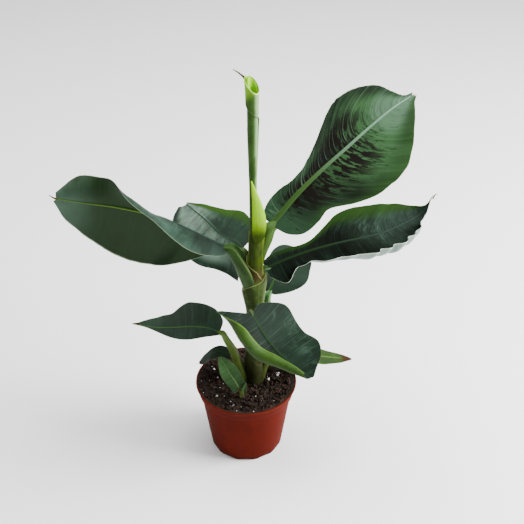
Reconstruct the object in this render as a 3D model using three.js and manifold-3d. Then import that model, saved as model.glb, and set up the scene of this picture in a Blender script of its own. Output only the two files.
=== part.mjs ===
// A young banana plant about 488 mm tall, in a 120 mm nursery pot.
// Millimetres, +Z up. The origin is the centre of the pot's flat underside, and -Y is the front.
import * as THREE from 'three';
import { mergeVertices } from 'three/addons/utils/BufferGeometryUtils.js';
import Module from 'manifold-3d';

const wasm = await Module();
wasm.setup();

// ---------- driving dimensions ----------

const GAP = 0.3; // clear space between touching pieces

const POT_HEIGHT = 92.5;
const POT_RIM_RADIUS = 60;
const POT_BASE_RADIUS = 43;
const POT_WALL = 1.6;
const POT_FLOOR = 3.6;
const RIM_BAND = 14; // height of the thicker band under the rim
const RIM_BAND_FOOT_RADIUS = 56.4;
const LIP = 2.2;
const LIP_STEP = 1; // how far the lip stands out from the band
const POT_SIDES = 48;
const FOOT_NOTCHES = 12;
const NOTCH_WIDTH = 15;
const NOTCH_HEIGHT = 1.4;
const NOTCH_DEPTH = 4.5;

const SOIL_LEVEL = 88;
const SOIL_RADIUS = 55.7; // at its surface
const GROUND = SOIL_LEVEL + GAP; // the flat cut under every stem

const STEM_SIDES = 18;
const PETIOLE_SIDES = 10;
const PETIOLE_SLIMMING = 0.85; // from the last station of a stalk to its blade
const PETIOLE_TIP = 4; // straight length just before the blade
const LEAF_THICKNESS = 0.0115; // share of the leaf's length
const LEAST_THICKNESS = 0.9;
const ROW_LENGTH = 12; // step along a blade
const LEAST_ROWS = 9;
const LEAF_COLUMNS = 4; // steps across each half of a blade
const ARC_STEPS = 4; // straight steps that make up one column of a half's curve
const LEAST_HALF_WIDTH = 0.4;

const ROLL_SIDES = 16;
const ROLL_STEPS = 14;
const DRIP_TIP_SIDES = 8;
const DRIP_TIP_STEPS = 10;
const ROLL_TOP = 474; // the mouth of the rolled leaf
const ROLL_MOUTH_TILT = 0.9; // rise of the mouth's plane for each mm towards the back
const CUT_BOX = 200; // larger than what any one cut takes off

// ---------- colours ----------

const GREEN = 0x23402f;
const OLD_GREEN = 0x2a4a2a;
const STALK_GREEN = 0x6d8a35;
const SHEATH_BROWN = 0x5c5a2a;
const LIME = 0x9fd02c;
const ROLL_GREEN = 0x83ad78;
const TERRACOTTA = 0x9a4030;
const PEAT = 0x2c1d16;

function finish(color, roughness) {
  return new THREE.MeshStandardMaterial({ color, roughness, metalness: 0 });
}

// ---------- closed bodies ----------

const plant = new THREE.Group();

function add(name, geometry, material) {
  const mesh = new THREE.Mesh(geometry, material);
  mesh.name = name;
  plant.add(mesh);
  return mesh;
}

// A closed geometry as a solid that can be cut and joined.
function solid(geometry) {
  const bare = geometry.clone();
  bare.deleteAttribute('normal');
  bare.deleteAttribute('uv');
  const merged = mergeVertices(bare, 1e-4);
  return new wasm.Manifold(
    new wasm.Mesh({
      numProp: 3,
      vertProperties: new Float32Array(merged.attributes.position.array),
      triVerts: new Uint32Array(merged.index.array),
    }),
  );
}

function geometryOf(body) {
  const mesh = body.getMesh();
  const geometry = new THREE.BufferGeometry();
  const places = new THREE.BufferAttribute(mesh.vertProperties, mesh.numProp);
  geometry.setAttribute('position', places);
  geometry.setIndex(new THREE.BufferAttribute(mesh.triVerts, 1));
  geometry.computeVertexNormals();
  return geometry;
}

// The largest piece of a body that a cut has left in several.
function largest(body) {
  const pieces = body.decompose();
  return pieces.reduce((best, piece) => (piece.volume() > best.volume() ? piece : best));
}

function placed(geometry, x, y, z) {
  geometry.translate(x, y, z);
  return geometry;
}

// Rings of points, each joined to the next. The first and the last are closed by rungs across.
function loft(rings) {
  const sides = rings[0].length;
  const places = rings.flat().flatMap((p) => [p.x, p.y, p.z]);
  const faces = [];
  for (let i = 0; i < rings.length - 1; i += 1) {
    for (let j = 0; j < sides; j += 1) {
      const a = i * sides + j;
      const b = i * sides + ((j + 1) % sides);
      faces.push(a, b, b + sides, a, b + sides, a + sides);
    }
  }
  const last = (rings.length - 1) * sides;
  for (let j = 0; j < sides / 2 - 1; j += 1) {
    const far = sides - 1 - j;
    faces.push(j, far, far - 1, j, far - 1, j + 1);
    faces.push(last + j, last + far - 1, last + far, last + j, last + j + 1, last + far - 1);
  }
  const geometry = new THREE.BufferGeometry();
  geometry.setAttribute('position', new THREE.Float32BufferAttribute(places, 3));
  geometry.setIndex(faces);
  return geometry;
}

const vector = ([x, y, z]) => new THREE.Vector3(x, y, z);

// The value at t, from 0 to 1, of a smooth line through evenly spaced values.
function along(values, t) {
  const last = values.length - 1;
  const place = THREE.MathUtils.clamp(t, 0, 1) * last;
  const i = Math.min(Math.floor(place), last - 1);
  const f = place - i;
  const [b, c] = [values[i], values[i + 1]];
  const a = i > 0 ? values[i - 1] : 2 * b - c;
  const d = i + 2 <= last ? values[i + 2] : 2 * c - b;
  return b + 0.5 * f * (c - a + f * (2 * a - 5 * b + 4 * c - d + f * (3 * (b - c) + d - a)));
}

// A round limb along stations of [x, y, z, radius]. Its rings stay level when level is true.
function limb(stations, sides, steps, level = false, grow = 0) {
  const curve = new THREE.CatmullRomCurve3(stations.map(vector), false, 'centripetal');
  const radii = stations.map((s) => s[3] + grow);
  const lengths = [0];
  for (let i = 1; i < stations.length; i += 1) {
    lengths.push(lengths[i - 1] + vector(stations[i]).distanceTo(vector(stations[i - 1])));
  }
  const up = new THREE.Vector3(0, 0, 1);
  const rings = [];
  for (let i = 0; i <= steps; i += 1) {
    const t = i / steps;
    const centre = curve.getPointAt(t);
    const ahead = level ? up : curve.getTangentAt(t);
    const across = new THREE.Vector3(ahead.z, 0, -ahead.x).normalize();
    const away = new THREE.Vector3().crossVectors(ahead, across);
    const reach = t * lengths[lengths.length - 1];
    let k = 0;
    while (k < lengths.length - 2 && lengths[k + 1] < reach) k += 1;
    const share = (reach - lengths[k]) / (lengths[k + 1] - lengths[k]);
    const radius = THREE.MathUtils.lerp(radii[k], radii[k + 1], THREE.MathUtils.clamp(share, 0, 1));
    const ring = [];
    for (let j = 0; j < sides; j += 1) {
      const turn = (2 * Math.PI * j) / sides;
      const spoke = across.clone().multiplyScalar(radius * Math.cos(turn));
      ring.push(spoke.addScaledVector(away, radius * Math.sin(turn)).add(centre));
    }
    rings.push(ring);
  }
  return loft(rings);
}

// ---------- leaves ----------

// rib: the midrib from the blade's foot to its tip. left and right are the halves as seen looking
// along the rib from the stem. For evenly spaced places along the rib, width is each half's
// breadth, fold the angle in degrees at which it leaves the rib above level, curl how much
// further it has turned at its margin, and lead how far the margin runs ahead, as a share of
// the width. bend is how late the curl comes: 1 is even, 4 is all near the margin.
const LEAVES = {
  upper_right: {
    rib: [[30, 17, 302], [58, 33, 331], [84, 48, 352], [111, 63, 371], [136, 78, 388],
      [162, 93, 404], [184, 106, 413]],
    stalk: [[14, 6, 250, 7], [18.5, 8, 268, 8], [24, 11.5, 288, 8]],
    lead: [-0.2, 0.2, 0.4, 0.5, 0.5, 0.5, 0.6, 0.7, 1],
    left: {
      width: [6, 21, 23, 19, 19, 25, 36, 50, 62, 66, 64, 59, 50, 39, 22, 8, 3],
      fold: [20, 12, 8, 5, 5, 5, 5, 5, 5],
    },
    right: {
      width: [9, 39, 45, 44, 62, 73, 75, 75, 72, 66, 58, 49, 39, 30, 20, 10, 3],
      fold: [-10, -10],
    },
    color: GREEN,
  },
  right: {
    rib: [[24, 10, 249], [47, 19, 255], [75, 29, 260], [104, 40, 262], [133, 51, 262],
      [158, 62, 262], [184, 78, 264], [205, 91, 270], [218, 97, 290]],
    stalk: [[12, 5, 210, 6.5], [15.5, 5.5, 222, 7], [18.5, 6.5, 232, 6.3]],
    lead: [-0.4, 0.2, 0.3, 0.4, 0.5, 0.5, 0.5, 0.3, 0],
    left: {
      width: [8, 14, 13, 11, 14, 25, 38, 43, 43, 42, 39, 34, 29, 22, 13, 2, 1],
      fold: [20, 20],
    },
    right: {
      width: [12, 31, 18, 24, 31, 38, 44, 47, 48, 48, 46, 40, 31, 20, 11, 2, 1],
      fold: [-20, -14],
      curl: [30, 60, 90, 110, 130, 160, 170, 120, 0], bend: 3,
    },
    color: GREEN,
  },
  left: {
    rib: [[-18, 9, 278], [-38, 13, 287], [-62, 16, 299], [-87, 20, 309], [-107, 23, 313],
      [-141, 28, 318], [-171, 32, 320], [-206, 37, 323]],
    stalk: [[7.5, 3, 230, 10.5], [2, 3.5, 248, 10.5], [-6, 5.5, 264, 8.5]],
    lead: [-0.4, 0.1, 0.2, 0.3, 0.4, 0.5, 0.6, 0.8],
    left: {
      width: [10, 30, 37, 39, 42, 34, 32, 8], fold: [-20, -10, 10, 38, 80, 74, 70, 75],
      curl: [0, 0, 0, -15, -60, 50, 100, 110], bend: 1.2,
      lead: [-0.4, 0.1, 0.2, 0.2, 0.1, 0.1, 0.2, 0.2],
    },
    right: {
      width: [4, 48, 77, 77, 67, 50, 30, 4], fold: [-30, -80, -80, -80, -80, -80, -80, -80],
      curl: [-10, -10],
    },
    color: GREEN,
  },
  back_left: {
    rib: [[-3, 17, 270], [-12, 27, 273], [-30, 46, 272], [-46, 66, 277], [-69, 93, 281]],
    stalk: [[9, 8, 246, 4.2], [3, 12, 260, 4]],
    lead: [0, 0.1, 0.3, 0.5, 0.8],
    left: {
      width: [39, 39, 39, 44, 45, 41, 33, 23, 8], fold: [-78, -60, -45, -40, -40],
      lead: [-0.35, 0.1, 0.3, 0.5, 0.8],
    },
    right: { width: [18, 30, 36, 33, 25, 18, 13, 7, 2], fold: [30, 30] },
    color: GREEN,
  },
  back_right: {
    rib: [[27, 35, 196], [33, 47, 204], [42, 62, 210], [53, 82, 214], [62, 98, 214]],
    stalk: [[12, 7, 128, 5.5], [18, 17, 152, 5.6], [24, 29, 176, 5]],
    lead: [-0.3, 0.1, 0.3, 0.5, 0.8],
    left: { width: [5, 15, 22, 20, 3], fold: [10, 10] },
    right: { width: [5, 34, 31, 22, 3], fold: [-5, -5] },
    color: OLD_GREEN,
  },
  lower_left: {
    rib: [[-30, 4, 162], [-44, 4, 168], [-62, 4, 170], [-80, 4, 169], [-101, 3, 169.5],
      [-130, 2, 176]],
    stalk: [[2, 2, 84, 6.3], [-6, 2.5, 106, 6], [-14, 3, 134, 5.4], [-22, 3.5, 151, 4.2]],
    lead: [-0.3, 0.1, 0.2, 0.4, 0.5, 0.8],
    left: { width: [4, 15, 20, 16, 8, 2, 0.6], fold: [-8, -8] },
    right: { width: [12, 25, 31, 33, 33, 27, 19, 17, 14, 11, 7, 3, 0.6], fold: [20, 20] },
    color: OLD_GREEN,
  },
  front_right: {
    rib: [[8, -16.5, 205], [20, -25.5, 187], [34, -36, 171], [50, -49, 162], [73, -68, 156]],
    stalk: [[10, 0, 140, 5], [9.6, -8, 166, 4.4], [8.8, -12.8, 191, 3]],
    lead: [-0.6, -0.2, 0.1, 0.4, 0.8],
    left: { width: [10, 28, 44, 44, 42, 45, 33, 15, 2], fold: [10, 10] },
    right: {
      width: [46, 60, 54, 38, 16], fold: [10, -4, -5, 8, 15], curl: [-20, 165, 205, 205, 170], bend: 3,
      lead: [-0.7, -0.4, -0.3, -0.3, -0.35],
    },
    color: OLD_GREEN,
  },
  low_right: {
    rib: [[40, 11, 126], [66, 16, 121], [88, 20, 112], [108, 25, 105], [127, 27, 101]],
    stalk: [[16, 4, 84, 5.4], [22, 7, 108, 4.6], [31, 9, 121, 3.6]],
    lead: [-0.3, 0.1, 0.3, 0.5, 0.8],
    left: { width: [6, 13, 14, 9, 1], fold: [5, 5] },
    right: { width: [6, 13, 14, 9, 1], fold: [-5, -5] },
    color: OLD_GREEN,
  },
  low_back_left: {
    rib: [[-16, 12, 117], [-28, 17, 121], [-40, 20, 116], [-49, 22, 107], [-57, 24, 98]],
    stalk: [[-3, 12, 84, 3], [-9, 12, 105, 2.6]],
    lead: [-0.3, 0.1, 0.3, 0.5, 0.8],
    left: { width: [3, 9, 10, 8, 1], fold: [-10, -10] },
    right: { width: [3, 9, 10, 8, 1], fold: [10, 10] },
    color: OLD_GREEN,
  },
  sucker: {
    rib: [[-7, -27, 102], [-12, -25, 112], [-18, -22, 121], [-25, -18, 133], [-30, -15, 140]],
    stalk: [[-5, -30, 84, 3], [-5.6, -29, 93, 2.8]],
    side: [0.82, 0.33, 0.46],
    lead: [-0.3, 0.1, 0.3, 0.5, 0.8],
    left: { width: [8, 11, 12, 9, 1], fold: [8, 8] },
    right: { width: [8, 11, 12, 9, 1], fold: [8, 8] },
    color: OLD_GREEN,
  },
};

const LIME_SHEATH = {
  rib: [[14, -3.2, 286], [15, -5.6, 304], [14.6, -6.2, 322], [12.5, -5.6, 342], [10, -5, 357],
    [8, -4, 369]],
  side: [1, 0, 0],
  left: { width: [5, 6.5, 6, 4.5, 2.5, 0.5], fold: [0, -10, -15, -15, -15, -15], curl: [0, -25] },
  right: { width: [6, 9.5, 10.5, 8.5, 5, 0.5], fold: [-5, -25, -30, -30, -30, -15], curl: [-10, -30] },
};

// Where a blade's rib is at t, with the directions ahead, to its right and up from its face.
function ribFrame(curve, side, t) {
  const centre = curve.getPointAt(t);
  const ahead = curve.getTangentAt(t);
  const across = side
    ? vector(side).addScaledVector(ahead, -vector(side).dot(ahead))
    : new THREE.Vector3().crossVectors(ahead, new THREE.Vector3(0, 0, 1));
  across.normalize();
  const up = new THREE.Vector3().crossVectors(across, ahead);
  return { centre, ahead, across, up };
}

// Points out from the rib across one half at t, each with the direction its face looks.
function halfRow(leaf, half, sign, frame, t, grow) {
  const width = Math.max(along(half.width, t), LEAST_HALF_WIDTH) + grow;
  const fold = THREE.MathUtils.degToRad(along(half.fold, t));
  const curl = THREE.MathUtils.degToRad(along(half.curl ?? [0, 0], t));
  const lead = along(half.lead ?? leaf.lead ?? [0, 0], t);
  const bend = half.bend ?? 2;
  const row = [];
  let out = 0;
  let rise = 0;
  for (let k = 1; k <= LEAF_COLUMNS; k += 1) {
    for (let j = 0; j < ARC_STEPS; j += 1) {
      const share = (k - 1 + (j + 0.5) / ARC_STEPS) / LEAF_COLUMNS;
      const angle = fold + curl * share ** bend;
      out += (Math.cos(angle) * width) / LEAF_COLUMNS / ARC_STEPS;
      rise += (Math.sin(angle) * width) / LEAF_COLUMNS / ARC_STEPS;
    }
    const share = k / LEAF_COLUMNS;
    const angle = fold + curl * share ** bend;
    const place = frame.centre.clone().addScaledVector(frame.across, sign * out);
    place.addScaledVector(frame.up, rise).addScaledVector(frame.ahead, lead * width * share ** 2);
    const face = frame.up.clone().multiplyScalar(Math.cos(angle));
    face.addScaledVector(frame.across, -sign * Math.sin(angle));
    row.push({ place, face });
  }
  return row;
}

// A blade of even thickness: each ring runs over its upper face and back under it.
// With grow it is the room that the blade takes with that much clear space round it.
function blade(leaf, grow = 0) {
  const curve = new THREE.CatmullRomCurve3(leaf.rib.map(vector), false, 'centripetal');
  const thickness = Math.max(LEAF_THICKNESS * curve.getLength(), LEAST_THICKNESS) + 2 * grow;
  const rows = Math.max(LEAST_ROWS, Math.round(curve.getLength() / ROW_LENGTH));
  const rings = [];
  for (let i = 0; i <= rows; i += 1) {
    const t = i / rows;
    const frame = ribFrame(curve, leaf.side, t);
    if (i === 0) frame.centre.addScaledVector(frame.ahead, -grow);
    const left = halfRow(leaf, leaf.left, -1, frame, t, grow);
    const right = halfRow(leaf, leaf.right, 1, frame, t, grow);
    const middle = { place: frame.centre, face: left[0].face.clone().add(right[0].face).normalize() };
    const row = [...left.reverse(), middle, ...right];
    const offset = (p, by) => p.place.clone().addScaledVector(p.face, by);
    const upper = row.map((p) => offset(p, thickness / 2));
    const lower = row.map((p) => offset(p, -thickness / 2));
    rings.push([...upper, ...lower.reverse()]);
  }
  return loft(rings);
}

// ---------- the plant ----------

const STEM = [
  [9, 5, GROUND, 10], [9, 5, 100, 8.8], [9.5, 5, 130, 8.5], [10.5, 5, 193, 8.6], [10, 5, 207, 10.2],
  [9.8, 5, 222, 11.4], [10.5, 5, 240, 10.8], [11.5, 5, 256, 8.6], [11.7, 5, 276, 8], [11.5, 5, 288, 7.6],
  [10.6, 5, 300, 5.8],
];
const STEM_STEPS = 24;

function makeStem() {
  add('pseudostem', limb(STEM, STEM_SIDES, STEM_STEPS, true), finish(SHEATH_BROWN, 0.6));
}

// The stalk of a leaf: it grows out of the stem, GAP clear of it, of the soil and of its blade, and
// of the stalks above it. Returns the room taken so far, with this stalk's own.
function makeLeaf(name, leaf, taken) {
  const curve = new THREE.CatmullRomCurve3(leaf.rib.map(vector), false, 'centripetal');
  const foot = curve.getPointAt(0);
  const ahead = curve.getTangentAt(0);
  const tipRadius = leaf.stalk[leaf.stalk.length - 1][3] * PETIOLE_SLIMMING;
  const stations = [...leaf.stalk];
  for (const back of [PETIOLE_TIP + GAP, GAP]) {
    const p = foot.clone().addScaledVector(ahead, -back);
    stations.push([p.x, p.y, p.z, tipRadius]);
  }
  const steps = 4 * stations.length;
  const whole = solid(limb(stations, PETIOLE_SIDES, steps));
  const stalk = whole.subtract(taken).subtract(solid(blade(leaf, GAP)));
  add(`stalk_${name}`, geometryOf(largest(stalk)), finish(STALK_GREEN, 0.5));
  add(`leaf_${name}`, blade(leaf), finish(leaf.color, 0.4));
  return taken.add(solid(limb(stations, PETIOLE_SIDES, steps, false, GAP)));
}

// The youngest leaf, still rolled into a slim tube, with its drip tip on the back lip.
const ROLL = [[10, 5, 300 + GAP, 4.7], [10, 5, 356, 5], [9.5, 5, 416, 6], [9.3, 5, 484, 7.3]];
const DRIP_TIP = [[4, 8, 468, 2.2], [2.5, 8.6, 477, 1.6], [-3, 8.8, 483, 0.9], [-9.5, 9, 487.5, 0.5]];

function makeRolledLeaf() {
  const tube = solid(limb(ROLL, ROLL_SIDES, ROLL_STEPS, true));
  const above = new THREE.BoxGeometry(CUT_BOX, CUT_BOX, CUT_BOX);
  above.translate(0, 0, CUT_BOX / 2);
  above.rotateX(Math.atan(ROLL_MOUTH_TILT));
  const cut = solid(placed(above, ROLL[3][0], ROLL[3][1], ROLL_TOP));
  const tip = solid(limb(DRIP_TIP, DRIP_TIP_SIDES, DRIP_TIP_STEPS));
  add('rolled_leaf', geometryOf(tube.subtract(cut).add(tip)), finish(ROLL_GREEN, 0.45));
}

// ---------- pot and soil ----------

function turned(profile, sides) {
  const points = profile.map(([r, z]) => new THREE.Vector2(r, z));
  const geometry = new THREE.LatheGeometry(points, sides);
  geometry.rotateX(Math.PI / 2);
  return geometry;
}

const bandFoot = POT_HEIGHT - RIM_BAND;
const bodyTopRadius = RIM_BAND_FOOT_RADIUS - LIP;

function makePot() {
  const profile = [
    [0, 0], [POT_BASE_RADIUS, 0], [bodyTopRadius, bandFoot], [RIM_BAND_FOOT_RADIUS, bandFoot],
    [POT_RIM_RADIUS - LIP_STEP, POT_HEIGHT - LIP], [POT_RIM_RADIUS, POT_HEIGHT - LIP],
    [POT_RIM_RADIUS, POT_HEIGHT], [POT_RIM_RADIUS - LIP_STEP - POT_WALL, POT_HEIGHT],
    [RIM_BAND_FOOT_RADIUS - POT_WALL, bandFoot + POT_WALL],
    [bodyTopRadius - POT_WALL, bandFoot - POT_WALL],
    [POT_BASE_RADIUS - POT_WALL, POT_FLOOR], [0, POT_FLOOR],
  ];
  let pot = solid(turned(profile, POT_SIDES));
  for (let i = 0; i < FOOT_NOTCHES; i += 1) {
    const notch = new THREE.BoxGeometry(NOTCH_WIDTH, 2 * NOTCH_DEPTH, 2 * NOTCH_HEIGHT);
    notch.translate(0, -POT_BASE_RADIUS, 0);
    notch.rotateZ((2 * Math.PI * i) / FOOT_NOTCHES);
    pot = pot.subtract(solid(notch));
  }
  add('pot', geometryOf(pot), finish(TERRACOTTA, 0.5));
}

function makeSoil() {
  const room = POT_WALL + GAP;
  const profile = [
    [0, POT_FLOOR + GAP], [POT_BASE_RADIUS - room, POT_FLOOR + GAP],
    [bodyTopRadius - room, bandFoot - POT_WALL],
    [RIM_BAND_FOOT_RADIUS - room - GAP, bandFoot + POT_WALL],
    [SOIL_RADIUS, SOIL_LEVEL], [0, SOIL_LEVEL],
  ];
  add('soil', turned(profile, POT_SIDES), finish(PEAT, 0.95));
}

// ---------- assembly ----------

makePot();
makeSoil();
makeStem();
const stemRoom = solid(limb(STEM, STEM_SIDES, STEM_STEPS, true, GAP));
const below = new THREE.BoxGeometry(CUT_BOX, CUT_BOX, GROUND);
const underground = solid(placed(below, 0, 0, GROUND / 2));
let taken = stemRoom.add(underground);
for (const [name, leaf] of Object.entries(LEAVES)) {
  taken = makeLeaf(name, leaf, taken);
}
makeRolledLeaf();
add('lime_sheath', blade(LIME_SHEATH), finish(LIME, 0.4));

export default plant;
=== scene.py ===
"""A young banana plant in a nursery pot: blades, stalks, false stem, rolled leaf, pot and peat.

Sizes of the plant are in millimetres until a form becomes a mesh, which is in metres.
"""

from dataclasses import dataclass
from math import cos, dist, hypot, pi, radians, sin

import bpy
import numpy as np
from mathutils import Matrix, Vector, noise
from numpy.random import default_rng


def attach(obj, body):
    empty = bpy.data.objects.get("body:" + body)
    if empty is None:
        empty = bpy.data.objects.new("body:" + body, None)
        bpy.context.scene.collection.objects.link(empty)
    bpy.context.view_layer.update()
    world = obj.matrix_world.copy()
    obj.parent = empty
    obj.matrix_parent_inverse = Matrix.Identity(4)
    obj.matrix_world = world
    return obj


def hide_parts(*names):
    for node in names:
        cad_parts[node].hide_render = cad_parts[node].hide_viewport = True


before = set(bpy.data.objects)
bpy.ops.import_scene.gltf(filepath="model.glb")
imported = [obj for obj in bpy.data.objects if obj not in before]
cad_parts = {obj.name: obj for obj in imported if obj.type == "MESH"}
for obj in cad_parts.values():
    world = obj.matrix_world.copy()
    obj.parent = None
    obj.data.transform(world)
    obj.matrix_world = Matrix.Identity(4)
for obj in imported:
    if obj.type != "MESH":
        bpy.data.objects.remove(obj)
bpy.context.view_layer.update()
MM = 0.001
FULL_TURN = 2 * pi

# ---------- finishes ----------


def rgb(code):
    """A colour written as RRGGBB, as the linear values that sockets hold."""
    levels = [int(code[i : i + 2], 16) / 255 for i in (0, 2, 4)]
    return [v / 12.92 if v <= 0.04045 else ((v + 0.055) / 1.055) ** 2.4 for v in levels] + [1]


class Wire:
    """A node's output that takes part in sums and products."""

    def __init__(self, finish, socket):
        self.finish = finish
        self.socket = socket

    def sum(self, operation, *values):
        return self.finish.node("ShaderNodeMath", {"operation": operation}, dict(enumerate(values)))

    def __add__(self, other):
        return self.sum("ADD", self, other)

    def __radd__(self, other):
        return self.sum("ADD", other, self)

    def __sub__(self, other):
        return self.sum("SUBTRACT", self, other)

    def __rsub__(self, other):
        return self.sum("SUBTRACT", other, self)

    def __mul__(self, other):
        return self.sum("MULTIPLY", self, other)

    def __rmul__(self, other):
        return self.sum("MULTIPLY", other, self)

    def __abs__(self):
        return self.sum("ABSOLUTE", self)


class Finish:
    """One material. What varies over a surface feeds its colour, roughness and bump."""

    def __init__(self, name, gloss=0.5):
        self.material = bpy.data.materials.new(name)
        self.material.use_nodes = True
        self.tree = self.material.node_tree
        self.shader = self.tree.nodes["Principled BSDF"]
        self.shader.inputs["Specular IOR Level"].default_value = gloss

    def feed(self, socket, value):
        if isinstance(value, Wire):
            self.tree.links.new(value.socket, socket)
        else:
            socket.default_value = value

    def node(self, kind, settings=None, sockets=None, out=0):
        made = self.tree.nodes.new(kind)
        for name, value in (settings or {}).items():
            setattr(made, name, value)
        for key, value in (sockets or {}).items():
            self.feed(made.inputs[key], value)
        return Wire(self, made.outputs[out])

    def mark(self, name="mark", out="Fac"):
        """What a mesh says of each of its points under that name."""
        return self.node("ShaderNodeAttribute", {"attribute_name": name}, out=out)

    def lie(self):
        """The three numbers that say where each point lies on its form."""
        return self.split(self.mark("lie", "Vector"))

    def split(self, vector):
        made = self.node("ShaderNodeSeparateXYZ", None, {0: vector})
        return [Wire(self, made.socket.node.outputs[k]) for k in range(3)]

    def join(self, x, y, z):
        return self.node("ShaderNodeCombineXYZ", None, {0: x, 1: y, 2: z})

    def place(self, scale=1.0):
        spot = self.node("ShaderNodeTexCoord", out="Object")
        return self.node("ShaderNodeVectorMath", {"operation": "SCALE"}, {0: spot, "Scale": scale})

    def cloud(self, spot, detail=3.0, rough=0.55, warp=0.0):
        """Noise at a spot of three values, or over the whole object at a scale."""
        vector = self.join(*spot) if isinstance(spot, tuple) else self.place(spot)
        sockets = {"Vector": vector, "Scale": 1.0, "Detail": detail, "Roughness": rough}
        return self.node("ShaderNodeTexNoise", None, {**sockets, "Distortion": warp})

    def rise(self, value, low, high):
        """0 below low, 1 above high, and smooth between them. low may be above high."""
        if low > high:
            return 1 - self.rise(value, high, low)
        settings = {"interpolation_type": "SMOOTHSTEP"}
        return self.node("ShaderNodeMapRange", settings, {0: value, 1: low, 2: high})

    def mix(self, factor, a, b):
        settings = {"data_type": "RGBA", "clamp_factor": True}
        return self.node("ShaderNodeMix", settings, {0: factor, 6: a, 7: b}, out=2)

    def base(self, dark, light, share):
        """The first coat, between two tones."""
        self.color = self.mix(share, rgb(dark), rgb(light))

    def coat(self, tone, amount):
        """A tone laid over the coats before it."""
        self.color = self.mix(amount, self.color, rgb(tone) if isinstance(tone, str) else tone)

    def fade(self, tone, value, low, high, strength=1.0):
        """A coat that comes in as a value goes from low to high."""
        self.coat(tone, self.rise(value, low, high) * strength)

    def paint(self, roughness, height=None, relief=0.3, depth=0.0004):
        self.feed(self.shader.inputs["Base Color"], self.color)
        self.feed(self.shader.inputs["Roughness"], roughness)
        if height is not None:
            sockets = {"Strength": relief, "Distance": depth, "Height": height}
            self.feed(self.shader.inputs["Normal"], self.node("ShaderNodeBump", None, sockets))
        return self.material


FLAME_BROWN = "0c0905"
DRY_BROWN = "33230f"
# The tone of the painted shade on a blade.
DEEP_SHADE = "0b100a"
FOOT_GREEN = "34543a"


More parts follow.
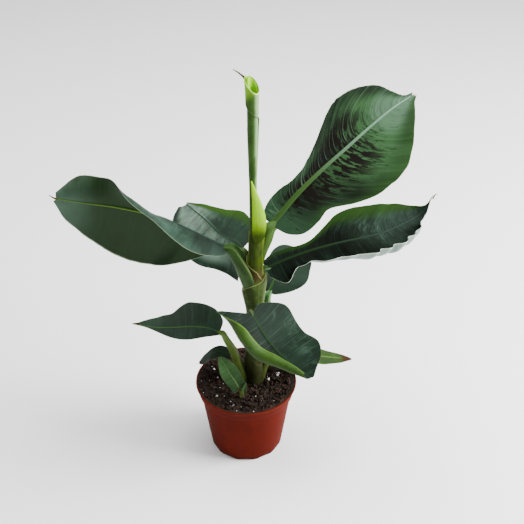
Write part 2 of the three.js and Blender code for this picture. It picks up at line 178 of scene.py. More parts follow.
def blade_face(name, tones, gloss=0.1, veins=0.15, dust=0.3, flame=0.0, reach=0.8, flame_to=1.0,
               pleat_highlight=0.0, lime=0.0, lime_tone="33620a", lime_from=0.0, lime_band=0.0, lime_left=False,
               shade=0.0, sheen=None, tip_sheen=None, rib_tip=None, dry=0.0):
    """The upper face of a blade: clouded green, fine side veins, a midrib and dark brown flames.

    The tones are those of its depths, its green, its bloom, its midrib and its edge. Places along the
    blade are in metres from its foot, and shares go from the midrib to the margin. veins, dust, flame,
    lime and shade are how strongly each shows, and so are the painted highlights along the pleats.
    Flames end at the share reach and the place flame_to. lime is a painted glow, a saturated green where
    light shines through the thin margin, and it begins at lime_from. shade is painted shade: the left
    half is darker near the rib and the right half near the foot, and the foot is lightened. sheen is a
    painted highlight: a tone, where it begins on the right and the left half, and where it ends. A paler
    painted sheen and the dry brown begin near the tip.
    """
    f = Finish(name, gloss)
    deep, green, bloom, rib, edge = tones.split()
    along, across, share = f.lie()
    far = abs(across)

    def streaks(lengthwise, outward, sideways, *noise_settings):
        return f.cloud((along * lengthwise, far * outward, across * sideways), *noise_settings)

    left = f.rise(across, 0.003, -0.003)
    vein = streaks(560, 14, 5)
    streak = streaks(120, 16, 7, 4, 0.6)
    haze = f.cloud(14, 4)
    f.base(deep, green, f.rise(haze * 0.72 + streak * 0.28, 0.38, 0.62))
    # sheen: a painted highlight, a paler tone laid over the stretch of the blade where it begins and ends
    if sheen:
        tone, start, start_left, end = sheen
        lit = f.rise(along + haze * 0.02 + left * (start - start_left), start, start + 0.05)
        lit = lit * f.rise(along - haze * 0.02, end, end - 0.04)
        lit = lit * f.rise(share, 0.92, 0.6) * f.rise(haze * 0.5 + streak * 0.5, 0.36, 0.56)
        f.coat(tone, lit * 0.85)
    # painted shade: the left half darkened near the rib and the right half near the foot; the foot is then
    # lightened to a paler green
    if shade:
        dim = left * f.rise(share, 0.95, 0.3) * f.rise(along, 0.02, 0.06) * f.rise(along, 0.145, 0.09)
        low = f.rise(along, 0.12, 0.05) * f.rise(haze * 0.6 + streak * 0.4, 0.4, 0.55)
        f.coat(DEEP_SHADE, (dim + (1 - left) * low * 0.5) * shade)
        f.fade(FOOT_GREEN, along + haze * 0.01, 0.045, 0.012, 0.6)
    # painted sheen: a paler tone near the tip, strongest towards the rib
    if tip_sheen:
        tone, start = tip_sheen
        pale = f.rise(along + haze * 0.03, start, start + 0.025) * f.rise(share, 0.95, 0.5)
        f.coat(tone, pale * 0.5)
    f.fade(bloom, vein, 0.52, 0.74, veins)
    speck = streaks(60, 30, 3, 5, 0.7)
    f.fade(bloom, speck * 0.5 + haze * 0.5, 0.54, 0.66, dust)
    thread_lines = f.cloud((along * 1300, 2.0, across), 1)
    f.coat(rib, f.rise(share, 0.6, 0.08) * f.rise(thread_lines, 0.58, 0.7) * 0.3)
    if flame:
        spots = streaks(240, 40, 9, 5, 0.6, 0.2)
        room = streaks(30, 22, 5, 2)
        held = f.rise(share, reach, reach - 0.55) * f.rise(along, flame_to + 0.03, flame_to - 0.03)
        held = held * f.rise(along, 0.005, 0.035)
        burnt = f.rise(spots * 0.68 + room * 0.32 + held * 0.1, 0.572, 0.592) * held * flame
        fleck = streaks(620, 110, 9, 3, 0.6)
        flecked = f.rise(fleck + held * 0.06, 0.64, 0.66) * f.rise(share, 0.97, 0.8) * flame
        f.coat(FLAME_BROWN, burnt + flecked * 0.7)
    # painted highlights: thin pale lines on the left half along its pleats, where their ridges catch the
    # light
    if pleat_highlight:
        fold = abs(streaks(75, 3, 2, 1) - 0.5)
        lines = f.rise(fold, 0.012, 0.0) * f.rise(share, 0.05, 0.2)
        f.coat(bloom, lines * left * pleat_highlight)
    # painted glow: a saturated green along the margin, where light shines through the thin blade
    if lime:
        glow = f.rise(share + haze * 0.3 + streak * 0.1, 0.98 - lime_band, 1.3 - lime_band * 0.8) * lime
        glow = glow * f.rise(along, lime_from - 0.001, lime_from + 0.03)
        f.coat(lime_tone, glow * (left if lime_left else 1 - left))
    midrib = f.mix(f.rise(along, 0.05, 0.19), rgb(rib), rgb(rib_tip or rib))
    f.fade(midrib, f.mark(), 1.06, 0.8)
    f.fade(edge, share, 0.982, 0.995, 0.6)
    if dry:
        f.fade(DRY_BROWN, along + haze * 0.006, dry, dry + 0.009)
    return f.paint(0.36 + haze * 0.22 + streak * 0.1, vein * 0.7 + streak, 0.3, 0.0005)


def blade_back(name, tones, sheen_from=0.0, grain=0.0):
    """The under face of a blade: smooth and duller, with a raised midrib, and a painted sheen that pales it
    towards its tip when a place for it is given.
    """
    f = Finish(name, 0.1)
    green, pale, rib, edge = tones.split()
    along, across, share = f.lie()
    far = abs(across)
    vein = f.cloud((along * 420, far * 12, across * 5))
    haze = f.cloud(16, 4)
    # painted sheen: paler towards the tip from the given place along the blade
    tipward_sheen = f.rise(along, sheen_from, sheen_from + 0.07) if sheen_from else 1.0
    f.base(green, pale, f.rise(haze * 0.94 + vein * 0.06, 0.34, 0.62) * tipward_sheen)
    f.fade(pale, vein, 0.54, 0.74, 0.06)
    speck = f.cloud((along * 260, far * 120, across * 40), 4, 0.7)
    f.fade("0d130c", speck, 0.66, 0.69, 0.45)
    if grain:
        f.fade(pale, f.cloud(420, 4), 0.46, 0.6, grain)
    f.fade(rib, f.mark(), 1.1, 0.7, 0.85)
    f.fade(edge, share, 0.975, 0.99, 0.8)
    return f.paint(0.46 + haze * 0.16, vein, 0.25, 0.0005)


def stalk_skin(name, tones, stain="2a170c", edge="6c7a3c", flank=None):
    """A leaf stalk: other greens upwards, fibrous, with stains, a dry margin and an own flank tone."""
    f = Finish(name, 0.12)
    low, mid, high = tones.split()
    along, around, margin = f.lie()
    fibre = f.cloud((along * 30, around * 700, 1.0))
    haze = f.cloud(60, 4)
    share = f.mark()
    f.base(low, mid, f.rise(share + haze * 0.3, 0.1, 0.6))
    f.fade(high, share, 0.55, 1.0)
    if flank:
        f.fade(flank, around + haze * 0.006, 0.031, 0.04, 0.85)
    f.fade(low, fibre, 0.45, 0.75, 0.35)
    f.coat(stain, f.rise(haze, 0.56, 0.7) * f.rise(share, 0.75, 0.1) * 0.75)
    f.fade(edge, margin, 0.3, 0.9, 0.75)
    return f.paint(0.42 + fibre * 0.2, fibre, 0.35)


def sheath_skin():
    """The false stem: wrapped sheaths with dry pale margins, brown below and glowing above."""
    f = Finish("sheath_skin", 0.06)
    height, around, wrap = f.lie()
    fibre = f.cloud((height * 25, around * 520, wrap * 3), 4)
    haze = f.cloud(48, 4, 0.65)
    f.base("1d190b", "32421a", f.rise(height + haze * 0.05, 0.11, 0.21))
    f.fade("3c4e20", height + haze * 0.03, 0.2, 0.245)
    f.fade("2e3e06", height + haze * 0.02, 0.24, 0.27)
    f.fade("283718", wrap + haze * 0.4, 0.3, 0.9, 0.3)
    red_foot = f.rise(height, 0.236, 0.246) * f.rise(height + haze * 0.012, 0.27, 0.252)
    f.coat("30120a", red_foot * 0.75)
    f.fade("22110a", haze + fibre * 0.3, 0.64, 0.8, 0.8)
    f.fade("161a08", fibre, 0.5, 0.7, 0.3)
    blot = f.cloud((height * 30, around * 90, 5.0), 4, 0.6)
    f.fade("171c0a", blot, 0.5, 0.62, 0.55)
    flank = f.rise(around, 0.024, 0.028) * f.rise(around + haze * 0.004, 0.037, 0.032)
    f.coat("5a6838", flank * f.rise(height, 0.18, 0.2) * 0.7)
    # painted rim light: a lime tone down the stem's right side, above its lower part
    rim = f.rise(around + haze * 0.006, 0.053, 0.058) * f.rise(height, 0.15, 0.2)
    f.coat("46580f", rim * 0.8)
    f.fade("77804a", f.mark(), 0.35, 0.8, 0.8)
    return f.paint(0.42 + haze * 0.2, fibre, 0.4, 0.0005)


def roll_skin():
    """The outside of the rolled leaf: green, veined lengthwise, with a painted highlight down its right
    side and painted shade down its left.
    """
    f = Finish("roll_skin", 0.06)
    height, turn, up = f.lie()
    x = f.split(f.place())[0]
    vein = f.cloud((height * 60, turn * 22, 2.0))
    haze = f.cloud(42, 4)
    f.base("294216", "3a5a24", f.rise(vein * 0.4 + haze * 0.6, 0.38, 0.64))
    # painted highlight down the right side of the roll and painted shade down its left, by place across it
    f.fade("7f9c70", x + haze * 0.004, 0.0125, 0.0165, 0.85)
    f.fade("1f3216", x + haze * 0.003, 0.0085, 0.0055, 0.25)
    f.fade("2a3018", haze + vein * 0.2, 0.7, 0.78, 0.5)
    f.fade("74a81a", height - x * 0.9, 0.45, 0.464, 0.9)
    f.fade("b8d878", up, 0.985, 0.997, 0.8)
    f.fade("2b4212", height, 0.36, 0.31, 0.7)
    f.fade("8aa86a", f.mark(), 0.4, 0.9, 0.7)
    return f.paint(0.4 + vein * 0.2, vein)


def lime_skin(name, deep, bright, foot=None):
    """Young tissue, bright and faintly veined, dull where it leaves the stem."""
    f = Finish(name, 0.05)
    along, across = f.lie()[:2]
    vein = f.cloud((along * 40, across * 900, 0.0))
    haze = f.cloud(40)
    f.base(deep, bright, f.rise(vein * 0.5 + haze * 0.6, 0.36, 0.75))
    if foot:
        f.fade(foot, along + haze * 0.008, 0.044, 0.014)
    return f.paint(0.45 + haze * 0.1, vein, 0.25, 0.0003)


def pot_plastic():
    """Moulded plastic: satin, faintly mottled, scuffed on its lip and darker towards its foot."""
    f = Finish("terracotta_plastic", 0.02)
    height, around, wear = f.lie()
    mottle = f.cloud(70, 5, 0.6)
    flow = f.cloud((height * 8, around * 30, 1.0))
    scuff = f.cloud((height * 350, around * 60, 4.0), 4, 0.7)
    grain = f.cloud(1500, 2)
    f.base("440f06", "501308", f.rise(mottle * 0.5 + flow * 0.5, 0.36, 0.66))
    f.fade("642416", wear, 0.2, 0.9, 0.3)
    f.fade("64301f", scuff, 0.66, 0.74, 0.25)
    f.fade("2c0e08", height + mottle * 0.01, 0.02, 0.004, 0.3)
    rough = 0.5 + mottle * 0.16 + f.rise(scuff, 0.6, 0.74) * 0.12
    return f.paint(rough, grain * 0.5 + scuff * 0.4, 0.18, 0.0003)


def peat_finish(name, tones):
    """Moist peat: nearly black in its pits, brown on its crumbs."""
    f = Finish(name, 0.2)
    dark, brown, light = tones.split()
    coarse = f.cloud(160, 6, 0.7)
    tiny = f.cloud(900, 4, 0.7)
    f.base(dark, brown, f.rise(coarse * 0.6 + tiny * 0.4, 0.38, 0.66))
    f.fade(light, tiny, 0.6, 0.72, 0.7)
    return f.paint(0.78 + tiny * 0.2, coarse + tiny, 0.9, 0.0012)


def dusty_finish(name, clean, dusty):
    """Chalky grains or straw, dusted with peat."""
    f = Finish(name, 0.3)
    dust = f.cloud(700, 4, 0.7)
    f.base(clean, dusty, f.rise(dust, 0.5, 0.72))
    return f.paint(0.7 + dust * 0.2, dust, 0.6)


# ---------- forms ----------

LINE_STEPS = 40  # from one point of a curve to the next
LUMP_ROWS = 5
LUMP_SIDES = 8
LUMP_END = 0.12  # how far a lump's first ring leans from its pole, in radians


def smooth(values, t):
    """The value at each t, from 0 to 1, of a smooth line through evenly spaced values."""
    v = np.asarray(values, float)
    last = len(v) - 1
    spot = np.clip(t, 0, 1) * last
    i = np.minimum(spot.astype(int), last - 1)
    f = spot - i
    v = np.r_[2 * v[0] - v[1], v, 2 * v[-1] - v[-2]]
    a, b, c, d = (v[i + k] for k in range(4))
    return b + 0.5 * f * (c - a + f * (2 * a - 5 * b + 4 * c - d + f * (3 * (b - c) + d - a)))


def wander(rng, count, t):
    """A smooth random line between about -1 and 1, with that many swings."""
    return smooth(rng.uniform(-1, 1, max(int(count), 3)), t)


def bell(x, width):
    """1 where x is 0, and falling away on both sides."""
    return np.exp(-((x / width) ** 2))


def lengths(points):
    return np.r_[0, np.cumsum(np.linalg.norm(np.diff(points, axis=0), axis=1))]


def between(t, start, end, a, b):
    return ((end - t) * a + (t - start) * b) / (end - start)


def curve(points):
    """A dense centripetal line through points, and the length to each of its points."""
    p = [np.array(q, float) for q in points]
    p = [2 * p[0] - p[1], *p, 2 * p[-1] - p[-2]]
    line = []
    for k in range(len(p) - 3):
        q = p[k : k + 4]
        u = np.r_[0, np.cumsum([np.linalg.norm(q[i + 1] - q[i]) ** 0.5 for i in range(3)])]
        for t in np.linspace(u[1], u[2], LINE_STEPS, endpoint=False):
            a = [between(t, u[i], u[i + 1], q[i], q[i + 1]) for i in range(3)]
            b = [between(t, u[i], u[i + 2], a[i], a[i + 1]) for i in range(2)]
            line.append(between(t, u[1], u[2], *b))
    line = np.array([*line, p[-2]])
    return line, lengths(line)


def grid(x, y, z):
    """Three arrays as one of points, each spread over the shape of all."""
    return np.stack(np.broadcast_arrays(x, y, z), axis=2)


def two_sided(upper, lower):
    """Rings that run over one face and back over the other."""
    return np.concatenate([upper, lower[:, ::-1]], axis=1)


def at_lengths(line, run, s):
    return np.stack([np.interp(s, run, line[:, k]) for k in range(3)], axis=1)


def unit(v):
    return v / np.linalg.norm(v, axis=-1, keepdims=True)


def directions(line, run, s, side=None):
    """Where a line is at lengths s, with the directions ahead, to its right and up."""
    step = 0.02 * run[-1]
    behind, before = (at_lengths(line, run, np.clip(s + k * step, 0, run[-1])) for k in (-1, 1))
    ahead = unit(before - behind)
    if side is None:
        right = unit(np.cross(ahead, [0, 0, 1]))
    else:
        side = np.array(side, float)
        right = unit(side - (ahead @ side)[:, None] * ahead)
    return at_lengths(line, run, s), ahead, right, np.cross(right, ahead)


def spine(stations, steps=None):
    """A curve through [x, y, z, radius] stations, with the length and the radius at each of its rings."""
    line, run = curve([p[:3] for p in stations])
    s = np.linspace(0, run[-1], steps or max(24, int(run[-1] / 1.6)))
    knots = lengths(np.array([p[:3] for p in stations], float))
    return line, run, s, np.interp(s, knots * run[-1] / knots[-1], [p[3] for p in stations])


def ring_angles(sides):
    """The directions of a ring's points."""
    return np.linspace(0, FULL_TURN, sides, endpoint=False)


def tube(centre, right, up, reach, turn):
    """Rings across a line, from how far they reach in each direction."""
    return (centre[:, None] + (reach * np.cos(turn))[..., None] * right[:, None]
            + (reach * np.sin(turn))[..., None] * up[:, None])


def placed(name, data):
    """A new object in the scene."""
    made = bpy.data.objects.new(name, data)
    bpy.context.scene.collection.objects.link(made)
    return made


class Form:
    """Points in millimetres, faces, and what the finish reads at each point."""

    def __init__(self):
        self.points, self.lies, self.marks, self.faces, self.looks = ([] for _ in range(5))
        self.count = 0

    def loft(self, rings, lies, marks, looks=0):
        """Closed rings, each joined to the next, and filled ends. looks is one finish, or one a side."""
        rows, sides = rings.shape[:2]
        first = self.count
        last = first + (rows - 1) * sides
        self.count += rows * sides
        self.points.append(rings.reshape(-1, 3))
        self.lies.append(np.broadcast_to(lies, rings.shape).reshape(-1, 3))
        self.marks.append(np.broadcast_to(marks, (rows, sides)).reshape(-1))
        looks = [int(look) for look in np.broadcast_to(looks, sides)]
        for row in range(first, last, sides):
            for j in range(sides):
                a = row + j
                b = row + (j + 1) % sides
                self.faces.append((a, b, b + sides, a + sides))
            self.looks += looks
        for j in range(sides // 2 - 1):
            far = sides - 1 - j
            self.faces.append((first + j, first + far, first + far - 1, first + j + 1))
            self.faces.append((last + j, last + j + 1, last + far - 1, last + far))
            self.looks += [looks[j]] * 2
        return self

    def lump(self, centre, size, rng):
        """A rough closed crumb."""
        turn = ring_angles(LUMP_SIDES)
        lean = np.linspace(LUMP_END, pi - LUMP_END, LUMP_ROWS)[:, None]
        rough = rng.uniform(0.72, 1.2, (LUMP_ROWS, LUMP_SIDES))
        spoke = grid(np.sin(lean) * np.cos(turn), np.sin(lean) * np.sin(turn), -np.cos(lean))
        self.loft(centre + spoke * rough[..., None] * size, np.array(centre) * MM, 0.5)

    def thread(self, stations, look=0, sides=10, steps=28):
        """A thin round tube along [x, y, z, radius] stations."""
        line, run, s, radius = spine(stations, steps)
        centre, _, right, up = directions(line, run, s, [0.31, 0.87, 0.38])
        turn = ring_angles(sides)
        lie = grid((s * MM)[:, None], turn[None] * MM, 0.0)
        self.loft(tube(centre, right, up, radius[:, None], turn), lie, (s / run[-1])[:, None], look)

    def piece(self, name, finishes, slot, *nodes, sharp=55):
        mesh = bpy.data.meshes.new(name)
        points = np.concatenate(self.points) * MM
        mesh.from_pydata(points.tolist(), [], self.faces)
        mesh.polygons.foreach_set("material_index", self.looks)
        lie = mesh.attributes.new("lie", "FLOAT_VECTOR", "POINT")
        lie.data.foreach_set("vector", np.concatenate(self.lies).astype(np.float32).ravel())
        mark = mesh.attributes.new("mark", "FLOAT", "POINT")
        mark.data.foreach_set("value", np.concatenate(self.marks).astype(np.float32))
        for finish in finishes:
            mesh.materials.append(finish)
        mesh.shade_smooth()
        mesh.set_sharp_from_angle(angle=radians(sharp))
        mesh.update()
        made = placed(name, mesh)
        if nodes:
            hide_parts(*nodes)
        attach(made, "root")


# ---------- blades ----------


@dataclass
class Half:
    """Half of a blade. Lists run evenly from its foot to its tip.

    fold is the angle in degrees at which it leaves the rib above level, curl how much further it has
    turned at its margin, and bend how late the curl comes. lead is how far the margin runs ahead, as a
    share of the width, and sweep the share of it that the side veins follow. ruffle and scallop are the
    height and the number of the margin's waves, out of the blade's face and along it. pleat is the
    height of the pleats between the side veins.
    """

    width: list
    fold: list
    ruffle: tuple = (0, 3)
    pleat: float = 0
    curl: tuple = (0, 0)
    bend: float = 2
    lead: list = None
    scallop: tuple = (0, 3)
    sweep: float = 0.45


@dataclass
class Leaf:
    """A leaf, with its halves as seen looking along the rib from the stem.

    rib is the midrib from the blade's foot to its tip, and band its half breadth at both. stalk is a
    list of [x, y, z, radius]. side is the way across the blade where it isn't level. foot is the share
    of the length over which the blade's foot is rounded, and channel how deep the stalk's channel is.
    """

    rib: list
    band: tuple
    left: Half
    right: Half
    stalk: list = None
    lead: list = (-0.3, 0.1, 0.3, 0.5, 0.8)
    side: tuple = None
    foot: float = 0.03
    channel: float = 1.0


LEAVES = {
    "upper_right": Leaf(
        [[30, 17, 302], [58, 33, 331], [84, 48, 352], [111, 63, 371], [136, 78, 388], [162, 93, 404],
         [184, 106, 413]], (4.2, 0.8),
        Half([15, 22, 23, 19, 19, 25, 36, 50, 62, 66, 64, 59, 50, 39, 22, 8, 3],
             [20, 12, 8, 5, 5, 5, 5, 5, 5], (0.8, 5), 1.7, sweep=1.9),
        Half([9, 39, 45, 44, 62, 73, 75, 75, 72, 66, 58, 49, 39, 30, 20, 10, 3], [-10, -10], (1.2, 9), 0.6,
             sweep=1.1),
        [[12.5, 6, 248, 6], [15.5, 8, 268, 7.6], [22.5, 11.5, 288, 8.4]],
        [-0.2, 0.2, 0.4, 0.5, 0.5, 0.5, 0.6, 0.7, 1], channel=0.25),
    "right": Leaf(
        [[24, 10, 249], [47, 19, 255], [75, 29, 260], [104, 40, 262], [133, 51, 262], [158, 62, 262],
         [184, 78, 264], [205, 91, 270], [218, 97, 290]], (1.9, 0.5),
        Half([8, 14, 13, 11, 14, 25, 38, 43, 43, 42, 39, 34, 29, 22, 13, 2, 1], [20, 20], (0.8, 7), 0.5,
             sweep=2.0),
        Half([12, 31, 18, 24, 31, 38, 44, 47, 48, 48, 46, 40, 31, 20, 11, 2, 1], [-20, -14], (2.6, 11), 0.4,
             [30, 60, 90, 110, 130, 160, 170, 120, 0], 3, scallop=(0.1, 17)),
        [[12, 5, 210, 6.5], [15.5, 5.5, 222, 7], [18.5, 6.5, 232, 6.3]],
        [-0.4, 0.2, 0.3, 0.4, 0.5, 0.5, 0.5, 0.3, 0], foot=0.02),
    "left": Leaf(
        [[-18, 9, 278], [-38, 13, 287], [-62, 16, 299], [-87, 20, 309], [-107, 23, 313], [-141, 28, 318],
         [-171, 32, 320], [-206, 37, 323]], (2.6, 0.8),
        Half([10, 30, 37, 39, 42, 34, 32, 8], [-20, -10, 10, 38, 80, 74, 70, 75], (0.5, 5), 0.4,
             [0, 0, 0, -15, -60, 50, 100, 110], 1.2, [-0.4, 0.1, 0.2, 0.2, 0.1, 0.1, 0.2, 0.2]),
        Half([4, 48, 77, 77, 67, 50, 30, 4], [-30, -80, -80, -80, -80, -80, -80, -80], (1.0, 8), 0.5,
             (-10, -10)),
        [[9.6, 4.6, 208, 10.2], [7.5, 3, 230, 10.5], [2, 3.5, 248, 10.5], [-6, 5.5, 264, 8.5]],
        [-0.4, 0.1, 0.2, 0.3, 0.4, 0.5, 0.6, 0.8]),
    "back_left": Leaf(
        [[-3, 17, 270], [-12, 27, 273], [-30, 46, 272], [-46, 66, 277], [-69, 93, 281]], (1.6, 0.6),
        Half([39, 39, 39, 44, 45, 41, 33, 23, 8], [-78, -60, -45, -40, -40], (0.8, 5), 0.4,
             lead=[-0.35, 0.1, 0.3, 0.5, 0.8]),
        Half([18, 30, 36, 33, 25, 18, 13, 7, 2], [30, 30], (0.6, 4), 0.3),
        [[9, 8, 246, 4.2], [3, 12, 260, 4]], [0, 0.1, 0.3, 0.5, 0.8], foot=0.004),
    "back_right": Leaf(
        [[27, 35, 196], [33, 47, 204], [42, 62, 210], [53, 82, 214], [62, 98, 214]], (1.8, 0.6),
        Half([5, 15, 22, 20, 3], [10, 10], (0.8, 4), 0.3),
        Half([5, 34, 31, 22, 3], [-5, -5], (1.0, 4), 0.3),
        [[12, 7, 128, 5.5], [18, 17, 152, 5.6], [24, 29, 176, 5]]),
    "lower_left": Leaf(
        [[-30, 4, 162], [-44, 4, 168], [-62, 4, 170], [-80, 4, 169], [-101, 3, 169.5], [-130, 2, 176]],
        (1.3, 0.4),
        Half([4, 15, 20, 16, 8, 2, 0.6], [-8, -8], (0.4, 4), 0.2),
        Half([12, 25, 31, 33, 33, 27, 19, 17, 14, 11, 7, 3, 0.6], [20, 20], (0.5, 4), 0.2),
        [[2, 2, 84, 6.3], [-6, 2.5, 106, 6], [-14, 3, 134, 5.4], [-22, 3.5, 151, 4.2]],
        [-0.3, 0.1, 0.2, 0.4, 0.5, 0.8]),
    "front_right": Leaf(
        [[8, -16.5, 205], [20, -25.5, 187], [34, -36, 171], [50, -49, 162], [73, -68, 156]], (1.2, 0.5),
        Half([10, 28, 44, 44, 42, 45, 33, 15, 2], [10, 10], (1.0, 4), 0.35),
        Half([46, 60, 54, 38, 16], [10, -4, -5, 8, 15], (0.5, 6), 0.35, [-20, 165, 205, 205, 170], 3,
             [-0.7, -0.4, -0.3, -0.3, -0.35]),
        [[10, 0, 140, 5], [9.6, -8, 166, 4.4], [8.8, -12.8, 191, 3]], [-0.6, -0.2, 0.1, 0.4, 0.8]),
    "low_right": Leaf(
        [[40, 11, 126], [66, 16, 121], [88, 20, 112], [108, 25, 105], [127, 27, 101]], (1.1, 0.4),
        Half([6, 13, 14, 9, 1], [5, 5], (0.4, 4), 0.2),
        Half([6, 13, 14, 9, 1], [-5, -5], (0.6, 5), 0.2),
        [[16, 4, 84, 5.4], [22, 7, 108, 4.6], [31, 9, 121, 3.6]]),
    "low_back_left": Leaf(
        [[-16, 12, 117], [-28, 17, 121], [-40, 20, 116], [-49, 22, 107], [-57, 24, 98]], (0.9, 0.3),
        Half([3, 9, 10, 8, 1], [-10, -10], (0.4, 3), 0.1),
        Half([3, 9, 10, 8, 1], [10, 10], (0.4, 3), 0.1),
        [[-3, 12, 84, 3], [-9, 12, 105, 2.6]]),
    "sucker": Leaf(
        [[-7, -27, 102], [-12, -25, 112], [-18, -22, 121], [-25, -18, 133], [-30, -15, 140]], (0.8, 0.3),
        Half([8, 10, 10.5, 7, 1], [8, 12], (0.9, 5), 0.2),
        Half([8, 10, 10.5, 7, 1], [8, 12], (0.9, 5), 0.2),
        [[-5, -30, 84, 3], [-5.6, -29, 93, 2.8]], side=(0.82, 0.33, 0.46)),
}

# A leaflet beside the foot of the side shoot's leaf.
LEAFLET_HALF = Half([1.5, 3.4, 3.4, 2.2, 0.4], [10, 15])
LEAFLET = Leaf([[-5.4, -29, 93.5], [-3.6, -28, 99], [-1.4, -27, 105], [0.6, -26, 111]], (0.5, 0.2),
               LEAFLET_HALF, LEAFLET_HALF, lead=(0, 0), side=(0.75, 0.3, 0.5))

LIME_SHEATH = Leaf(
    [[14, -3.2, 290], [15, -5.6, 305], [14.6, -6.2, 322], [12.5, -5.6, 342], [10, -5, 357], [8, -4, 369]],
    (0.3, 0.1),
    Half([5, 6.5, 6, 4.5, 2.5, 0.5], [0, -2], curl=(0, -50)),
    Half([4.5, 8, 9.2, 7.6, 4.6, 0.5], [-2, -4], curl=(-15, -85)),
    lead=(0, 0), side=(1, 0, 0), foot=0.14)

RIB_COLUMNS = np.array([0.0, 0.3, 0.6, 0.85, 1.0, 1.18])  # across the midrib, in its half breadths
RIB_EDGE = RIB_COLUMNS[-1]
RIB_SHARE = 0.55  # the most of a half's width that the midrib takes
GROOVE_DEPTH = 0.16  # of the midrib's groove above and its keel below, in its half breadths
KEEL_DEPTH = 0.8
BLADE_COLUMNS = 18  # from the midrib to the margin
MARGIN_CROWDING = 0.9
LEAST_ROWS = 40
ROW = 1.3  # from one row of a blade to the next
LEAST_HALF = 0.4
FIRST_FOOT = 0.004  # share of the foot's rounding at which a blade begins
CURL_STEPS = 72  # steps across a half while its curl is summed
PLEAT = 7  # length along the rib of one pleat, and of one fine crease
FINE_PLEAT = 2.6
PLEATED_WIDTH = 20  # the width at which a half has its full pleats


def half_blade(leaf, half, sign, t, frames, rng):
    """Places, face directions, distances, shares and vein shifts over a half, from the rib outwards."""
    centre, ahead, right, up = frames
    foot = np.sqrt(1 - (1 - np.clip(t / leaf.foot, FIRST_FOOT, 1)) ** 2)
    jag, jags = half.scallop
    edge = 1 + jag * wander(rng, jags * 2, t)
    width = np.maximum(smooth(half.width, t) * foot * edge, LEAST_HALF)[:, None]
    band = np.interp(t, [0, 1], leaf.band)[:, None]
    inner = np.minimum(band * RIB_COLUMNS / width, RIB_SHARE * RIB_COLUMNS / RIB_EDGE)
    outer = np.linspace(0, 1, BLADE_COLUMNS) ** MARGIN_CROWDING
    shares = np.concatenate([inner, inner[:, -1:] + (1 - inner[:, -1:]) * outer[1:]], axis=1)
    fine = np.linspace(0, 1, CURL_STEPS + 1)
    fold = np.radians(smooth(half.fold, t))[:, None]
    curl = np.radians(smooth(half.curl, t))[:, None]

    def gone(slope):
        """How far the half has gone at each column, from its slope over the fine steps."""
        sums = np.c_[np.zeros(len(t)), np.cumsum(slope, axis=1)] / CURL_STEPS
        return (np.stack([np.interp(s, fine, g) for s, g in zip(shares, sums)]) * width)[..., None]

    angle = fold + curl * ((fine[1:] + fine[:-1]) / 2) ** half.bend
    lead = smooth(half.lead or leaf.lead, t)[:, None] * width * shares**2
    place = (centre[:, None] + sign * gone(np.cos(angle)) * right[:, None]
             + gone(np.sin(angle)) * up[:, None] + lead[..., None] * ahead[:, None])
    angle = (fold + curl * shares**half.bend)[..., None]
    face = np.cos(angle) * up[:, None] - sign * np.sin(angle) * right[:, None]
    height, waves = half.ruffle
    swing = wander(rng, waves * 2, t)[:, None] * height * shares**3
    length = lengths(centre)[-1]
    shift = (1 - half.sweep) * lead
    spot = t[:, None] + shift / length
    ridge = 0.7 - np.abs(wander(rng, length / PLEAT, spot)) * 1.4
    ridge = ridge + 0.35 * wander(rng, length / FINE_PLEAT, spot)
    plate = np.clip((shares - 0.06) * 6, 0, 1) * np.clip(width / PLEATED_WIDTH, 0.2, 1)
    swing = swing + half.pleat * ridge * plate * 0.5
    return place + swing[..., None] * face, face, sign * shares * width, shares, shift


def blade_form(leaf, seed, thick=0.5, relief=1.0):
    """A closed thin blade with a midrib that is grooved above and stands proud below."""
    rng = default_rng(seed)
    line, run = curve(leaf.rib)
    t = np.linspace(0, 1, max(LEAST_ROWS, int(run[-1] / ROW)))
    frames = directions(line, run, t * run[-1], leaf.side)
    left = half_blade(leaf, leaf.left, -1, t, frames, rng)
    right = half_blade(leaf, leaf.right, 1, t, frames, rng)
    place, face, across, share, shift = (
        np.concatenate([a[:, :0:-1], b], axis=1) for a, b in zip(left, right))
    face[:, left[1].shape[1] - 1] = unit(left[1][:, 0] + right[1][:, 0])
    band = np.interp(t, [0, 1], leaf.band)[:, None]
    near = np.clip(np.abs(across) / band, 0, 3)
    body = thick * (1 - 0.5 * share)
    wave = np.cos(np.minimum(near, RIB_EDGE) / RIB_EDGE * pi)
    groove = np.where(near < RIB_EDGE, GROOVE_DEPTH * band * wave, 0)
    keel = np.where(near < 1, KEEL_DEPTH * band * np.sqrt(np.clip(1 - near**2, 0, 1)), 0)
    upper = place + face * (body / 2 - groove * relief)[..., None]
    lower = place - face * (body / 2 + keel * relief)[..., None]
    lie = grid(((t * run[-1])[:, None] + shift) * MM, across * MM, share)
    columns = across.shape[1]
    looks = [0] * (columns - 1) + [1] * (columns + 1)
    return Form().loft(two_sided(upper, lower), two_sided(lie, lie), two_sided(near, near), looks)


# ---------- stalks and the false stem ----------

STALK_SIDES = 28
# How far past the blade's foot a stalk runs on inside the rib, and the share of its radius there.
STALK_END = [(-4, 1.0), (1.5, 0.8), (9, 0.4)]
END_RADIUS = 0.85  # share of the last station's radius
SINKING = 14  # length over which a stalk's end sinks under the blade
CHANNEL_DEPTH = [0.05, 0.42, 0.5]  # at a stalk's foot, at a third of its length and at its end
CHANNEL_EDGE = 0.9  # how far the margin is from the channel's middle, in radians


